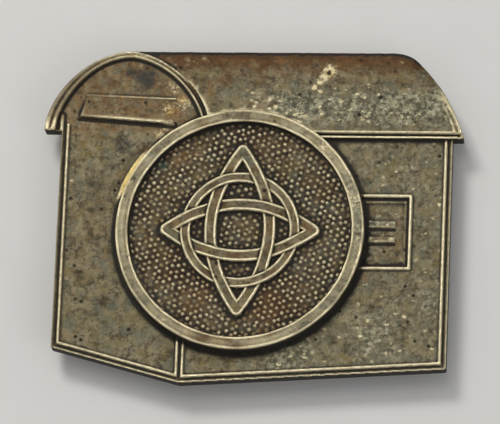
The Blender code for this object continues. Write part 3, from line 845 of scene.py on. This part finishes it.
def plate(material):
    grid = Grid((LEFT, BOTTOM), (RIGHT, TOP), PITCH)
    x, y = grid.x, grid.y
    depth = np.maximum.reduce([depth_in(loop, x, y) for loop in (wall_loop(), gable_loop(), roof_loop())])
    z = plate_wear(x, y, plate_height(x, y)) + 0.12 * crescent(x, y)
    medal = np.hypot(x - MEDAL_X, y - MEDAL_Y)
    z = np.where(medal < MEDAL_R - 0.3, MEDAL_LOW[2] - 0.02, z)
    sheet = trimmed_sheet(grid, depth - EDGE_BEVEL)
    obj, count, sides = plate_solid(sheet, grid.over(sheet, z))
    shown = np.where(depth < 0, z - 0.35, z)
    gold = crescent(x, y)
    # The plate counts as raised over the medallion's edge, so painted shade darkens a band round the
    # medallion's foot, though not along the bright crescent.
    shown += (PANEL + 0.45 - shown) * smooth(MEDAL_R - medal, -0.08, 0.08) * (1 - gold)
    rub_and_painted_light, washes = rubbing_and_painted_shade(x, y), plate_washes(x, y)
    paint_relief(obj, count, grid, shown, PLATE_TINTS, rub_and_painted_light=rub_and_painted_light, washes=washes, sides=sides)
    return place(obj, "badge_plate", material, sharp=55)


def plate_solid(sheet, heights):
    """The struck face closed by its sides and a hollowed back.

    With the object come the count of its points above the bevel's foot, and the count of its sides' points.
    """
    rim_width, hollow, chamfer = 1.35, 0.3, 0.07
    flat_points, faces = sheet
    points = [(x, y, z) for (x, y), z in zip(flat_points, heights)]
    count, faces = len(points), list(faces)
    (loop,) = outlines(faces)
    top_ring = [tuple(flat_points[n]) for n in loop]
    ring = shrunk(top_ring, -EDGE_BEVEL)
    rows = [loop]
    for share, drop in ((0.55, 0.2), (0.9, 0.6), (1.0, 1.2)):
        rows.append(range(len(points), len(points) + len(loop)))
        outer = shrunk(top_ring, -share * EDGE_BEVEL)
        points.extend((x, y, heights[n] - drop * EDGE_BEVEL) for (x, y), n in zip(outer, loop))
    rows.append(range(len(points), len(points) + len(loop)))
    points.extend((x, y, BACK + chamfer) for x, y in ring)
    for upper, lower in zip(rows, rows[1:]):
        faces += bridge(upper, lower)
    inner = back_hollow(rim_width)
    numbers, rim_faces = cap(points, [shrunk(ring, chamfer), inner[::-1]], BACK, flip=True)
    faces += rim_faces + bridge(rows[-1], numbers[: len(ring)])
    deep, field = cap(points, [shrunk(inner, 0.2)], BACK + hollow, flip=True)
    faces += field + bridge(numbers[len(ring) :], deep[::-1])
    return mesh_object("struck_plate", points, faces), count + 2 * len(ring), 2 * len(ring)


def back_hollow(inset):
    """The outline of the hollow in the back, counter-clockwise."""
    left, right = WALL_LEFT + inset, WALL_RIGHT - inset
    points = [(left, foot_line(left, inset)), (CORNER_X, BOTTOM + inset)]
    points += [(right, foot_line(right, inset)), (right, EAVE_Y + inset)]
    end = [(x - 0.93 * inset, y - 0.37 * inset) for x, y in roof_end()]
    points += [(x, y) for x, y in end if x < right - 0.2 and y < TOP - inset]
    points += [(RIDGE_END_X, TOP - inset)]
    across, up = 1 - inset / GABLE_HALF, 1 - inset / GABLE_RISE
    arch = [(GABLE_X + (x - GABLE_X) * across, GABLE_Y + (y - GABLE_Y) * up) for x, y in gable_loop()[45:]]
    return points + [(x, y) for x, y in arch if x > left + 0.2]


# The medallion


# Spots on the rim: place, radius and strength. Some are stains and worn spots; others are painted light, as
# marked.
RING_TINTS = {
    "warm": ((-4.0, 10.4, 2.5, 0.3), (MEDAL_X + 8.3, MEDAL_Y + 8.3, 2.0, 0.25)),
    "cool": ((MEDAL_X - 8.2, MEDAL_Y - 8.2, 3.0, 0.3), (MEDAL_X + 11.5, MEDAL_Y - 2.0, 2.0, 0.3)),
    "green": ((-9.2, 5.4, 0.8, 0.6), (MEDAL_X + 11.7, MEDAL_Y + 1.2, 1.3, 0.3)),
    "bare_and_highlight": (
        (-12.6, 3.2, 0.8, 0.8), (-13.1, 1.2, 0.6, 0.6),
        # Painted highlights at the rim's right and upper right.
        (MEDAL_X + 8.2, MEDAL_Y + 8.6, 1.5, 0.5), (MEDAL_X + 11.3, MEDAL_Y + 3.0, 1.4, 0.55),
    ),
    # Painted shade: brown darkening the rim's bottom and top.
    "brown": ((MEDAL_X - 2.0, MEDAL_Y - 11.5, 8.0, 0.8), (MEDAL_X - 3.0, MEDAL_Y + 11.0, 6.0, 0.55)),
    # Painted light: the rim's right side made pale.
    "pale": ((MEDAL_X + 11.5, MEDAL_Y + 2.0, 7.0, 0.75),),
}


def rim_section():
    """The rim's section from the inside over the top to the outside: (radius, height, wear, dirt and painted
    shade). The last column puts painted shade on the rim's walls and at its foot.
    """
    foot = MEDAL_LOW[2]
    return [
        (RING_INNER - 0.35, foot, 0, 0.6),
        (RING_INNER - 0.35, GROUND - 0.1, 0, 1.0),
        (RING_INNER - 0.07, GROUND + 0.04, 0, 1.0),
        (RING_INNER - 0.01, GROUND + 0.3, 0, 1.0),
        (RING_INNER + 0.01, RING_TOP - 0.14, 0.1, 0.5),
        (RING_INNER + 0.04, RING_TOP - 0.05, 0.9, 0),
        (RING_INNER + 0.10, RING_TOP - 0.01, 1.0, 0),
        (RING_INNER + 0.18, RING_TOP, 0.6, 0),
        (RING_INNER + 0.30, RING_TOP - 0.018, 0.22, 0.05),
        (RING_INNER + 0.60, RING_TOP - 0.022, 0.3, 0),
        (RING_EDGE - 0.28, RING_TOP - 0.018, 0.22, 0.05),
        (RING_EDGE - 0.15, RING_TOP, 0.6, 0),
        (RING_EDGE - 0.06, RING_TOP - 0.01, 1.0, 0),
        (RING_EDGE, RING_TOP - 0.05, 0.9, 0),
        (RING_EDGE + 0.04, RING_TOP - 0.16, 0.2, 0.3),
        (RING_EDGE + 0.09, RING_TOP - 0.5, 0, 0.75),
        (RING_EDGE + 0.15, PANEL + 0.35, 0, 1.0),
        (MEDAL_R, PANEL + 0.1, 0, 1.0),
        (MEDAL_R, foot, 0, 1.0),
    ]


def ring(material):
    """The raised rim, turned from its section. Its outer edge is gold where it meets the bright crescent."""
    section = rim_section()
    rows, steps = len(section), 640
    angles = np.linspace(0, 2 * pi, steps, endpoint=False)
    cosines, sines = np.cos(angles), np.sin(angles)
    middle, spread = 157, 14
    brassy = np.exp(-(((np.degrees(angles) - middle) / spread) ** 2))
    points, wear, dirt_and_shade, gold = [], [], [], []
    for r, z, worn, dirty_and_shaded in section:
        x, y = MEDAL_X + r * cosines, MEDAL_Y + r * sines
        struck = z > GROUND
        sway = struck * (0.02 * noise(x, y, 2.1, 41) + 0.012 * noise(x, y, 0.7, 42))
        lump = struck * (0.036 * noise(x, y, 1.1, 43) + 0.02 * noise(x, y, 0.5, 45) - 0.02)
        points.extend(zip(x + sway * cosines, y + sway * sines, np.minimum(z + lump, RING_TOP)))
        outer = brassy * (r > RING_EDGE - 0.1)
        wear.extend(np.clip(worn * (1 + 0.45 * noise(x, y, 1.7, 44)) + outer, 0, 1))
        # Painted shade on the rim's walls and foot, except where its edge is bright.
        dirt_and_shade.extend(dirty_and_shaded * (1 - outer))
        gold.extend(outer)
    faces = []
    for row in range(rows):
        upper, lower = row * steps, ((row + 1) % rows) * steps
        faces += bridge(range(upper, upper + steps), range(lower, lower + steps))
    obj = mesh_object("medallion_ring", points, faces)
    paint(obj, "wear", wear)
    paint(obj, "dirt_and_shade", dirt_and_shade)
    x, y, _ = np.array(points).T
    paint_tints(obj, x, y, RING_TINTS, {"warm": gold})
    return place(obj, "medallion", material, sharp=60)


def dots(x, y):
    """A stipple of round punch marks on a slanted honeycomb lattice, a little irregular."""
    turn = radians(-42)
    u = ((x - MEDAL_X) * cos(turn) + (y - MEDAL_Y) * sin(turn)) / DOT_PITCH
    v = (-(x - MEDAL_X) * sin(turn) + (y - MEDAL_Y) * cos(turn)) / (DOT_PITCH * sin(pi / 3))
    row = np.round(v)
    u = u - 0.5 * (row % 2)
    column = np.round(u)
    rng = np.random.default_rng(8)
    size, stray = 64, 0.24
    jitter_u, jitter_v, gains = (rng.uniform(-1, 1, (size, size)) for _ in range(3))
    i, j = column.astype(int) % size, row.astype(int) % size
    du = (u - column - stray * jitter_u[i, j]) * DOT_PITCH
    dv = (v - row - stray * jitter_v[i, j]) * DOT_PITCH * sin(pi / 3)
    return (1 - smooth(np.hypot(du, dv), 0.3 * DOT_RADIUS, DOT_RADIUS * 1.2)) * (0.82 + 0.3 * gains[i, j])


GROUND_STAINS = {
    "warm": ((-7.0, 6.0, 2.0, 0.6), (2.0, -10.0, 3.0, 0.55), (-5.0, -8.5, 3.0, 0.6), (4.0, 7.5, 2.0, 0.5)),
    "brown": ((-6.5, -5.0, 6.0, 0.8), (0.0, 8.0, 5.0, 0.7), (3.0, -9.5, 4.5, 0.9), (7.0, 3.0, 3.0, 0.5)),
    "pale": ((8.5, -1.0, 4.0, 0.35),),
    "cool": ((7.5, -3.0, 2.5, 0.35), (-9.0, -2.0, 2.0, 0.3)),
    "green": ((-8.9, 5.0, 0.6, 0.9), (7.4, 1.0, 1.0, 0.3)),
}


def ground(material):
    """The stippled field inside the rim."""
    radius = RING_INNER + 0.03
    grid = Grid((MEDAL_X - radius, MEDAL_Y - radius), (MEDAL_X + radius, MEDAL_Y + radius), FINE_PITCH)
    x, y = grid.x, grid.y
    r = np.hypot(x - MEDAL_X, y - MEDAL_Y)
    soft = 0.85 + 0.3 * noise(x, y, 1.9, 51)
    z = GROUND - 0.02 + DOT_RISE * dots(x, y) * soft * (1 - smooth(r, RING_INNER - 0.25, RING_INNER))
    z = z + 0.02 * noise(x, y, 1.5, 52) + 0.008 * noise(x, y, 0.3, 53)
    z = z + 0.07 * smooth(r, RING_INNER - 0.5, RING_INNER)
    sheet = trimmed_sheet(grid, radius - r)
    obj, count = sheet_solid("medallion_ground", sheet, grid.over(sheet, z), MEDAL_LOW[2] + 0.2)
    # The ground counts as raised under the emblem and just inside the rim, so painted shade darkens it round
    # the emblem's foot and along the rim.
    raised_for_emblem_shade = z + 0.4 * (1 - smooth(emblem_edge(x, y), -0.06, 0.09))
    shown = raised_for_emblem_shade + 0.15 * smooth(r, RING_INNER - 0.12, RING_INNER + 0.02)
    paint_relief(obj, count, grid, shown, GROUND_STAINS, gain=0.95)
    return place(obj, "medallion", material)


# The emblem


def oval(half_length, half_width, steps=22):
    """A closed outline of two shallow curves that meet in points above and below the middle."""
    tip, toe = (0, half_length), (0, -half_length)
    right, left = bulged(tip, toe, half_width, steps), bulged(toe, tip, half_width, steps)
    return right[:-1] + left[:-1]


def strap_paths():
    """The middle lines of the three straps, with their widths."""
    tall = oval(OVAL_TALL - 0.8 * STRAP, OVAL_TALL_HALF - STRAP / 2)
    wide = [(-y, x) for x, y in oval(OVAL_WIDE - 0.8 * STRAP, OVAL_WIDE_HALF - STRAP / 2)]
    link = arc((0, 0), LINK_R, 0, 360, 72)[:-1]
    return {
        name: ([(x + MEDAL_X, y + MEDAL_Y) for x, y in path], width)
        for name, path, width in (("tall", tall, STRAP), ("wide", wide, STRAP), ("link", link, LINK_STRAP))
    }


def emblem_edge(x, y):
    """Distance outside the nearest strap."""
    edges = [path_distance(path, x, y, closed=True) - width / 2 for path, width in strap_paths().values()]
    return np.minimum.reduce(edges)


def crossing(path, other):
    """Where two straps cross above and right of the medallion's middle."""

    def dense(points):
        ends = points[1:] + points[:1]
        return [
            (a[0] + (b[0] - a[0]) * t, a[1] + (b[1] - a[1]) * t)
            for a, b in zip(points, ends)
            for t in np.linspace(0, 1, 12, endpoint=False)
            if a[0] > MEDAL_X - 1 and a[1] > MEDAL_Y - 1
        ]

    first, second = np.array(dense(path)), np.array(dense(other))
    gaps = np.hypot(*(first[:, None, :] - second[None, :, :]).transpose(2, 0, 1))
    away = np.minimum(np.abs(first[:, 0] - MEDAL_X), np.abs(first[:, 1] - MEDAL_Y)) > 0.8
    gaps[~away] = 9
    i, _ = np.unravel_index(gaps.argmin(), gaps.shape)
    return first[i] - (MEDAL_X, MEDAL_Y)


EMBLEM_STAINS = {
    "warm": ((-7.0, -1.0, 1.4, 0.6), (5.6, -1.4, 1.2, 0.6), (-1.0, -8.6, 1.4, 0.3), (-3.4, 5.0, 1.4, 0.4)),
    "cool": ((1.0, -5.5, 2.2, 0.3), (2.5, 3.5, 1.5, 0.3)),
    "bare_and_highlight": ((-8.8, -1.2, 0.5, 0.5), (-1.0, 7.6, 0.5, 0.45), (6.9, -1.3, 0.5, 0.5)),
    "brown": ((MEDAL_X, MEDAL_Y, 14.0, 0.5),),
}


def emblem(material):
    """Three straps that pass over and under each other in turn."""
    grid = Grid(EMBLEM_LOW[:2], EMBLEM_HIGH[:2], FINE_PITCH)
    x, y = grid.x, grid.y
    straps = strap_paths()
    base = GROUND + EMBLEM_RISE - WEAVE - 0.01
    tops, levels = {}, {}
    for name, (path, width) in straps.items():
        distance = path_distance(path, x, y, closed=True)
        across = distance / (width / 2)
        top = base - 0.075 * (1 - smooth(across, 0.42, 0.66)) - 0.16 * smooth(across, 0.84, 1.02)
        tops[name] = top + 0.012 * noise(x, y, 1.1, 61 + len(name))
        levels[name] = width / 2 - distance
    reach = 0.85
    for over, under in (("tall", "link"), ("wide", "tall"), ("link", "wide")):
        px, py = crossing(straps[over][0], straps[under][0])
        for sx, sy in ((1, 1), (1, -1), (-1, 1), (-1, -1)):
            away = (x - MEDAL_X - sx * px) ** 2 + (y - MEDAL_Y - sy * py) ** 2
            lift = WEAVE * np.exp(-away / (2 * reach**2)) * sx * sy
            tops[over] = tops[over] + lift
            tops[under] = tops[under] - lift
    falling = {n: tops[n] + 1.5 * np.minimum(levels[n], 0) for n in straps}
    z = np.maximum.reduce([np.where(levels[n] > -0.12, falling[n], GROUND) for n in straps])
    level = np.maximum.reduce(list(levels.values()))
    z = z + 0.006 * noise(x, y, 0.35, 66)
    sheet = trimmed_sheet(grid, level)
    heights = np.minimum(grid.over(sheet, z), EMBLEM_HIGH[2])
    obj, count = sheet_solid("strap_knot", sheet, heights, EMBLEM_LOW[2] - 0.06)
    shown = np.where(level > 0, z, GROUND - 0.1)
    paint_relief(obj, count, grid, shown, EMBLEM_STAINS, gain=0.85)
    return place(obj, "emblem", material, sharp=60)


# The fittings on the back


def refined(node, name, material, body="badge", bevel=0.05):
    """The CAD solid with its edges eased."""
    obj = added(name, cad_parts[node].data.copy())
    edit = bmesh.new()
    edit.from_mesh(obj.data)
    bmesh.ops.remove_doubles(edit, verts=edit.verts, dist=1e-7)
    bmesh.ops.dissolve_limit(edit, angle_limit=radians(2), verts=edit.verts, edges=edit.edges)
    edit.to_mesh(obj.data)
    edit.free()
    if bevel:
        modifier = obj.modifiers.new("eased_edges", "BEVEL")
        modifier.width = bevel * MM
        modifier.segments = 2
        modifier.limit_method = "ANGLE"
        modifier.angle_limit = radians(40)
        bpy.context.view_layer.update()
        eased = obj.evaluated_get(bpy.context.evaluated_depsgraph_get())
        mesh = bpy.data.meshes.new_from_object(eased)
        obj.modifiers.clear()
        obj.data = mesh
    obj.data.shade_smooth()
    return place(obj, node, material, body, sharp=38)


def solder_patch(node, name, material):
    """A low mound of solder with a wandering edge."""
    (left, bottom, low), (right, top, high) = node_box(node)
    cx, cy = (left + right) / 2, (bottom + top) / 2
    steps, rows, first = 72, 10, 0.6
    angles = np.linspace(0, 2 * pi, steps, endpoint=False)
    points = []
    for row in range(rows + 1):
        t = (row + first) / (rows + first)
        wander = 0.97 - 0.035 * (1 + np.sin(3 * angles + cx)) - 0.02 * (1 + np.sin(7 * angles + 2 * cx))
        radius_x, radius_y = (right - left) / 2 * t * wander, (top - bottom) / 2 * t * wander
        level = np.full(steps, low + (high - low) * t**3)
        points.extend(zip(cx + radius_x * np.cos(angles), cy + radius_y * np.sin(angles), level))
    faces = []
    for row in range(rows):
        start = row * steps
        faces += bridge(range(start + steps, start + 2 * steps), range(start, start + steps))
    faces.append(list(range(steps))[::-1])
    faces.append([rows * steps + n for n in range(steps)])
    return place(mesh_object(name, points, faces), node, material)


def fittings():
    brass, wire, tin = dull_brass("tarnished_brass"), steel("drawn_steel"), solder("dull_solder")
    solder_patch("hinge_pad", "hinge_solder", tin)
    solder_patch("catch_pad", "catch_solder", tin)
    refined("hinge_bracket", "bent_bracket", brass)
    refined("catch_hook", "bent_hook", brass)
    refined("hinge_rivet", "clenched_rivet", wire, bevel=0)
    refined("needle_knuckle", "rolled_knuckle", brass, body="knuckle", bevel=0.04)
    refined("needle", "ground_needle", wire, body="pin", bevel=0)


# Surroundings


def floor():
    half, thick = 0.6, 0.01
    bpy.ops.mesh.primitive_cube_add(size=1, location=(0, 0, -thick / 2))
    slab = bpy.context.object
    slab.name = "floor"
    slab.scale = (2 * half, 2 * half, thick)
    n = Nodes("pale_floor")
    tone = n.mix(n.noise(9.0, 4, 0.6), (0.70, 0.695, 0.68, 1), (0.76, 0.755, 0.745, 1))
    n.put(n.shader.inputs["Base Color"], tone)
    n.shader.inputs["Roughness"].default_value = 0.9
    n.shader.inputs["Specular IOR Level"].default_value = 0.2
    slab.data.materials.append(n.material)


def light(name, place_at, size, power, colour):
    data = bpy.data.lights.new(name, "AREA")
    data.shape = "RECTANGLE"
    data.size, data.size_y = size
    data.energy = power
    data.color = colour
    obj = added(name, data)
    obj.location = place_at
    obj.rotation_euler = (-Vector(place_at)).to_track_quat("-Z", "Y").to_euler()


def surroundings():
    floor()
    light("key", (-0.17, 0.30, 0.47), (0.18, 0.14), 1.45, (1.0, 0.97, 0.90))
    light("top", (-0.05, 0.12, 0.60), (0.30, 0.22), 0.5, (1.0, 0.98, 0.95))
    light("fill", (0.40, -0.30, 0.35), (0.35, 0.35), 0.4, (0.98, 0.98, 1.0))
    world = bpy.data.worlds.new("studio")
    bpy.context.scene.world = world
    world.use_nodes = True
    background = world.node_tree.nodes["Background"]
    background.inputs["Color"].default_value = (0.98, 0.98, 1.0, 1)
    background.inputs["Strength"].default_value = 0.35
    bpy.context.scene.view_settings.view_transform = "Standard"


def camera():
    """Nearly overhead, from the badge's foot and a little to its right, with the roof's line level."""
    azimuth, elevation, roll = radians(19.75), radians(72), radians(18.3)
    distance, lens = 0.6, 432
    back = Vector((sin(azimuth) * cos(elevation), -cos(azimuth) * cos(elevation), sin(elevation)))
    right = Vector((cos(azimuth), sin(azimuth), 0))
    up = back.cross(right)
    turned_right = right * cos(roll) - up * sin(roll)
    turned_up = right * sin(roll) + up * cos(roll)
    aim = Vector((-0.05, 0.38, PANEL)) * MM
    data = bpy.data.cameras.new("camera")
    data.lens = lens
    data.sensor_width = 36
    data.clip_start = 0.01
    obj = added("camera", data)
    turn = Matrix((turned_right, turned_up, back)).transposed().to_4x4()
    obj.matrix_world = Matrix.Translation(aim + back * distance) @ turn
    bpy.context.scene.camera = obj


def build():
    wall = bronze("patinated_bronze", (0.060, 0.048, 0.026, 1), (0.212, 0.176, 0.099, 1))
    rim = bronze("rubbed_bronze", (0.085, 0.072, 0.042, 1), (0.29, 0.26, 0.17, 1), 1.25)
    dark_ground = bronze("matted_bronze", (0.058, 0.036, 0.017, 1), (0.155, 0.108, 0.053, 1), 0.7, 0.6)
    plate(wall)
    ring(rim)
    ground(dark_ground)
    emblem(wall)
    fittings()
    surroundings()
    camera()


build()
